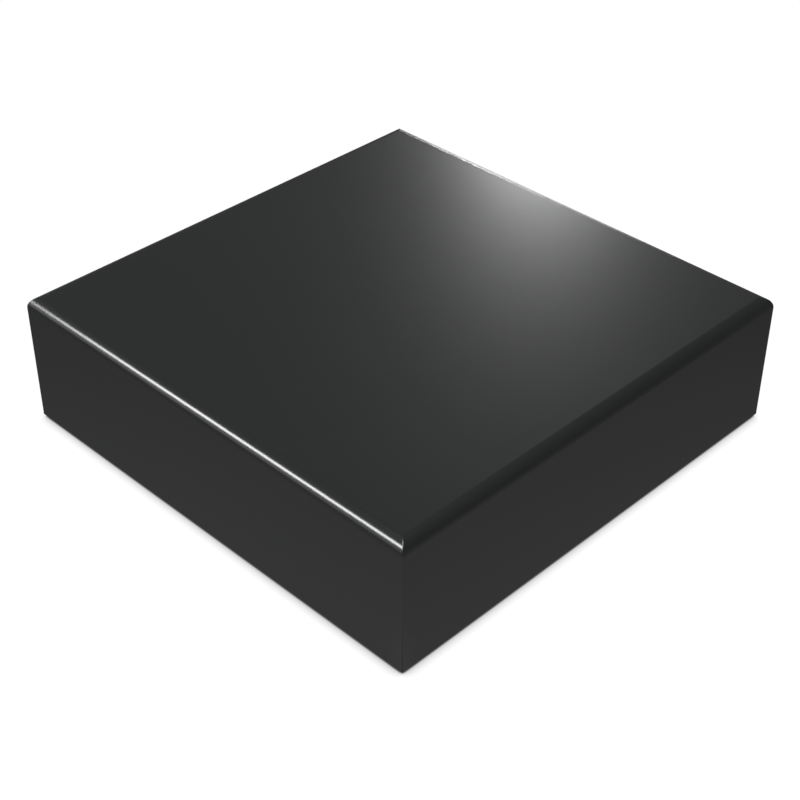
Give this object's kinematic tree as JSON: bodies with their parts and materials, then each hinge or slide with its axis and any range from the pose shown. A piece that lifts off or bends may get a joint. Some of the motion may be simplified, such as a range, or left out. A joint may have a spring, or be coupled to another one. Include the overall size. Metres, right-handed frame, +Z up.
{
  "type": "streaming media player",
  "caption": "Low square streaming media player: satin black one-piece cover on an inset vented base, rear connector panel with a sprung reset button and an optical audio port with a shutter.",
  "frame": {"origin": "centre of the square footprint, on the surface that the feet stand on", "axes": "+X to the right as seen from the front, +Y towards the rear connector panel, +Z up"},
  "size_m": [0.105, 0.105, 0.0294],
  "materials": {
    "shell_plastic": "satin black, smooth moulded",
    "base_plastic": "fine matte texture",
    "panel_plastic": "fine matte texture",
    "foot_rubber": "matte, slightly grained",
    "screw_steel": "zinc plated",
    "sheet_steel": "bright tinned sheet",
    "ballast_steel": "plain rolled",
    "aluminium": "extruded, plain",
    "board_laminate": "green solder mask",
    "chip_package": "moulded epoxy",
    "connector_plastic": "moulded, satin",
    "gold_contact": "gold flash",
    "thermal_silicone": "soft grey silicone",
    "lead_jacket": "fluoropolymer jacket",
    "clear_acrylic": "polished clear",
    "white_nylon": "moulded nylon"
  },
  "bodies": {
    "case": {"top_shell": "shell_plastic", "base_cover": "base_plastic", "rear_io_panel": "panel_plastic", "foot_front_left": "foot_rubber", "foot_front_right": "foot_rubber", "foot_rear_left": "foot_rubber", "foot_rear_right": "foot_rubber", "case_screw_front_left": "screw_steel", "case_screw_front_right": "screw_steel", "case_screw_rear_left": "screw_steel", "case_screw_rear_right": "screw_steel", "board_screw_front_left": "screw_steel", "board_screw_front_right": "screw_steel", "board_screw_rear_left": "screw_steel", "board_screw_rear_right": "screw_steel", "shield_frame": "sheet_steel", "wifi_shield": "sheet_steel", "ethernet_shield": "sheet_steel", "hdmi_shell": "sheet_steel", "usb_shell": "sheet_steel", "crystal": "sheet_steel", "ballast_plate": "ballast_steel", "heat_sink": "aluminium", "capacitor_left": "aluminium", "capacitor_right": "aluminium", "main_board": "board_laminate", "wifi_module": "board_laminate", "processor": "chip_package", "memory_chip_left": "chip_package", "memory_chip_right": "chip_package", "flash_chip": "chip_package", "power_chip": "chip_package", "inductor_front": "chip_package", "inductor_rear": "chip_package", "ethernet_transformer": "chip_package", "ir_receiver": "chip_package", "optical_emitter": "chip_package", "ethernet_jack": "connector_plastic", "hdmi_insert": "connector_plastic", "usb_insert": "connector_plastic", "optical_jack": "connector_plastic", "power_jack": "connector_plastic", "reset_switch": "connector_plastic", "ethernet_contacts": "gold_contact", "power_jack_pin": "gold_contact", "antenna_left": "gold_contact", "antenna_right": "gold_contact", "thermal_pad": "thermal_silicone", "antenna_lead_left": "lead_jacket", "antenna_lead_right": "lead_jacket", "light_guide": "clear_acrylic", "heat_sink_pin_front": "white_nylon", "heat_sink_pin_rear": "white_nylon", "status_led": "white_nylon"},
    "reset_button": {"reset_button": "panel_plastic", "reset_switch_plunger": "connector_plastic"},
    "optical_shutter": {"optical_shutter": "connector_plastic"}
  },
  "joints": [
    {"name": "reset_press", "type": "slide", "parent": "case", "child": "reset_button", "axis": [0, -1, 0], "range_m": [0, 0.0005], "stiffness_N_per_m": 400, "springref_m": -0.0005},
    {"name": "shutter_swing", "type": "hinge", "parent": "case", "child": "optical_shutter", "pos_m": [-0.0155, 0.0512, 0.0167], "axis": [-1, 0, 0], "range_deg": [0, 85], "stiffness_Nm_per_rad": 0.0003, "springref_deg": -11.46}
  ]
}
